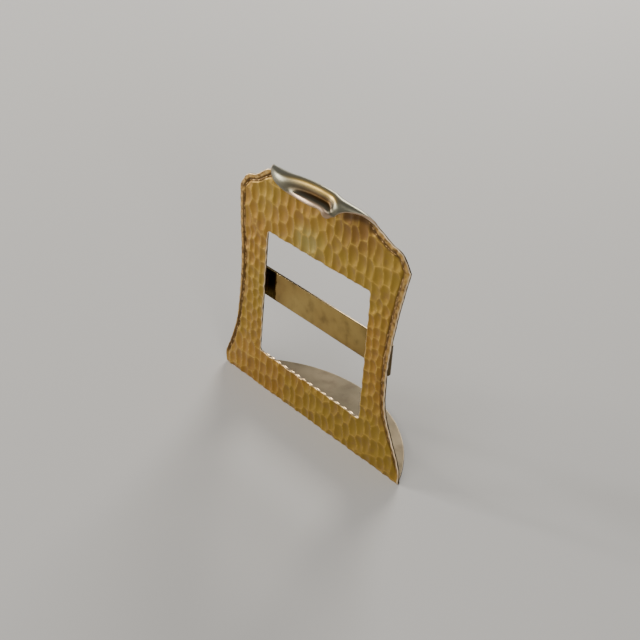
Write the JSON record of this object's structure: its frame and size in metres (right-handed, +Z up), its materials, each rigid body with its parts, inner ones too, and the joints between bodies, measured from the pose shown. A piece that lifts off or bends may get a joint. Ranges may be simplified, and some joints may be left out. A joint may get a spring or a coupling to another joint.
{
  "type": "desk card frame",
  "caption": "Small hammered brass standing frame with a card window, rolled crest, half-round foot and a bridge strap behind, from a desk blotter set.",
  "frame": {"origin": "middle of the overall footprint, on the surface the frame stands on", "axes": "+Z up, +X along the width, the window faces -Y and the foot reaches back towards +Y"},
  "size_m": [0.0916, 0.0256, 0.085],
  "materials": {
    "hammered_brass": "hand-hammered, dark antique patina worn bright on the high edges",
    "smooth_brass": "smooth, grey-green patina",
    "strap_brass": "smooth, drawn brass with brown patina",
    "hard_solder": "dull hard solder"
  },
  "bodies": {
    "root": {"face_plate": "hammered_brass", "foot_plate": "smooth_brass", "card_strap": "strap_brass", "foot_solder": "hard_solder", "strap_solder_left": "hard_solder", "strap_solder_right": "hard_solder"}
  },
  "joints": []
}
